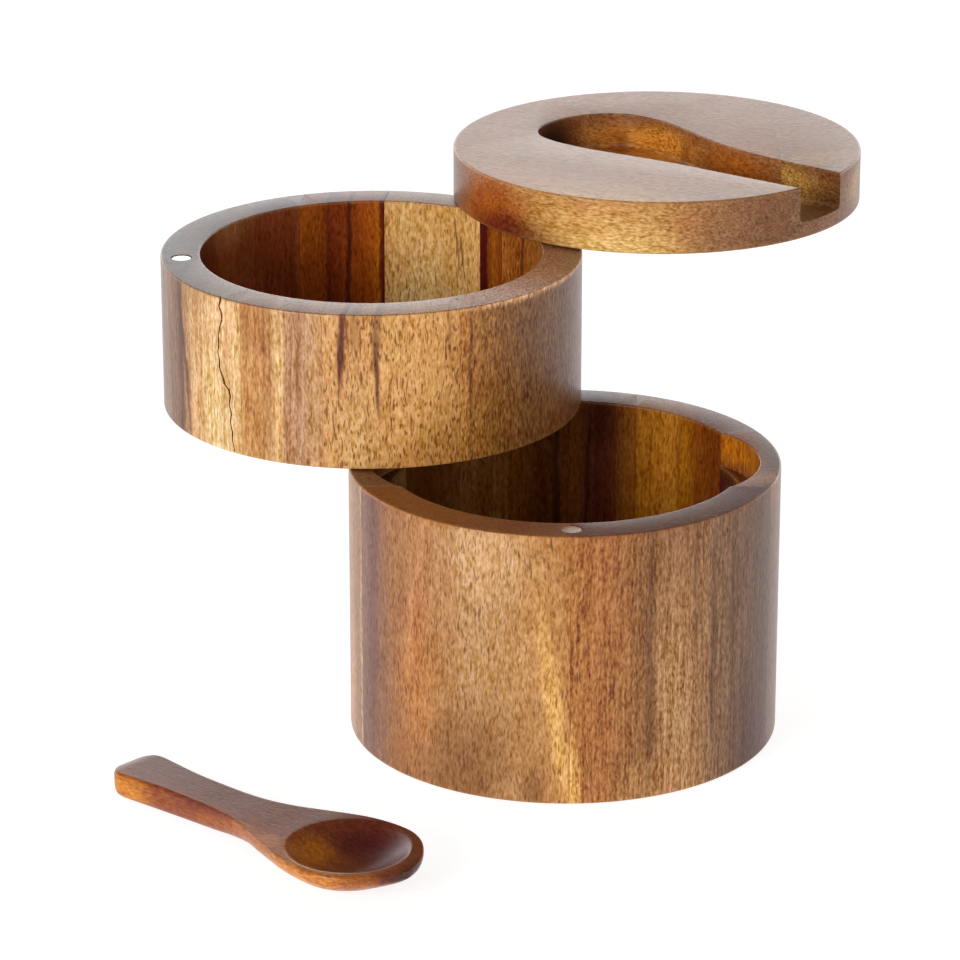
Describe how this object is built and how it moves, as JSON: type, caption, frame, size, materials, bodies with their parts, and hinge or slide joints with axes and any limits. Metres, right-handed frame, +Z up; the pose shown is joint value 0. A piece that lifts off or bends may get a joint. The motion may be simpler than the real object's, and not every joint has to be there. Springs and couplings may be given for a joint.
{
  "type": "swivel spice box",
  "caption": "Round stacked wooden spice box: a tray and a lid swing open on upright steel pins and shut on disc magnets; a spoon fits the recess cut in the lid.",
  "frame": {"origin": "centre of the lower tier's underside, on the surface it stands on", "axes": "+Z up along the lower tier's axis; +Y towards the back, where the lower swivel pin is; the rim magnet of the lower tier is at the front, on the -Y side"},
  "size_m": [0.1833, 0.2513, 0.1198],
  "materials": {
    "lower_front_left_board": "oiled acacia, satin",
    "lower_front_right_board": "oiled acacia, satin",
    "lower_left_board": "oiled acacia, satin",
    "lower_right_board": "oiled acacia, satin",
    "lower_back_left_board": "oiled acacia, satin",
    "lower_back_right_board": "oiled acacia, satin",
    "lower_floor": "oiled acacia, satin",
    "middle_end_board_left": "oiled acacia, satin",
    "middle_front_board_left": "oiled acacia, satin",
    "middle_back_board_left": "oiled acacia, satin",
    "middle_front_board_right": "oiled acacia, satin",
    "middle_back_board_right": "oiled acacia, satin",
    "middle_back_strip": "oiled acacia, satin",
    "middle_end_board_right": "oiled acacia, satin",
    "middle_floor": "oiled acacia, satin",
    "lid_main_board": "oiled acacia, satin",
    "lid_end_board": "oiled acacia, satin",
    "spoon": "oiled acacia, satin",
    "lower_pivot_pin": "ground steel pin",
    "lid_pivot_pin": "ground steel pin",
    "lower_rim_magnet": "nickel plated",
    "middle_rim_magnet": "nickel plated",
    "middle_under_magnet": "nickel plated",
    "lid_magnet": "nickel plated"
  },
  "bodies": {
    "lower_box": {"lower_front_left_board": "lower_front_left_board", "lower_front_right_board": "lower_front_right_board", "lower_left_board": "lower_left_board", "lower_right_board": "lower_right_board", "lower_back_left_board": "lower_back_left_board", "lower_back_right_board": "lower_back_right_board", "lower_floor": "lower_floor", "lower_pivot_pin": "lower_pivot_pin", "lower_rim_magnet": "lower_rim_magnet"},
    "middle_tray": {"middle_end_board_left": "middle_end_board_left", "middle_front_board_left": "middle_front_board_left", "middle_back_board_left": "middle_back_board_left", "middle_front_board_right": "middle_front_board_right", "middle_back_board_right": "middle_back_board_right", "middle_back_strip": "middle_back_strip", "middle_end_board_right": "middle_end_board_right", "middle_floor": "middle_floor", "middle_rim_magnet": "middle_rim_magnet", "middle_under_magnet": "middle_under_magnet", "lid_pivot_pin": "lid_pivot_pin"},
    "lid": {"lid_main_board": "lid_main_board", "lid_end_board": "lid_end_board", "lid_magnet": "lid_magnet"},
    "spoon": {"spoon": "spoon"}
  },
  "joints": [
    {"name": "middle_swivel", "type": "hinge", "parent": "lower_box", "child": "middle_tray", "pos_m": [0, 0.04719, 0.0675], "axis": [0, 0, 1], "continuous": true},
    {"name": "lid_swivel", "type": "hinge", "parent": "middle_tray", "child": "lid", "pos_m": [-0.00045, 0.05118, 0.1065], "axis": [0, 0, 1], "continuous": true},
    {"name": "spoon_lift", "type": "slide", "parent": "lower_box", "child": "spoon", "axis": [0, 0, 1], "range_m": [0, 0.12]}
  ]
}
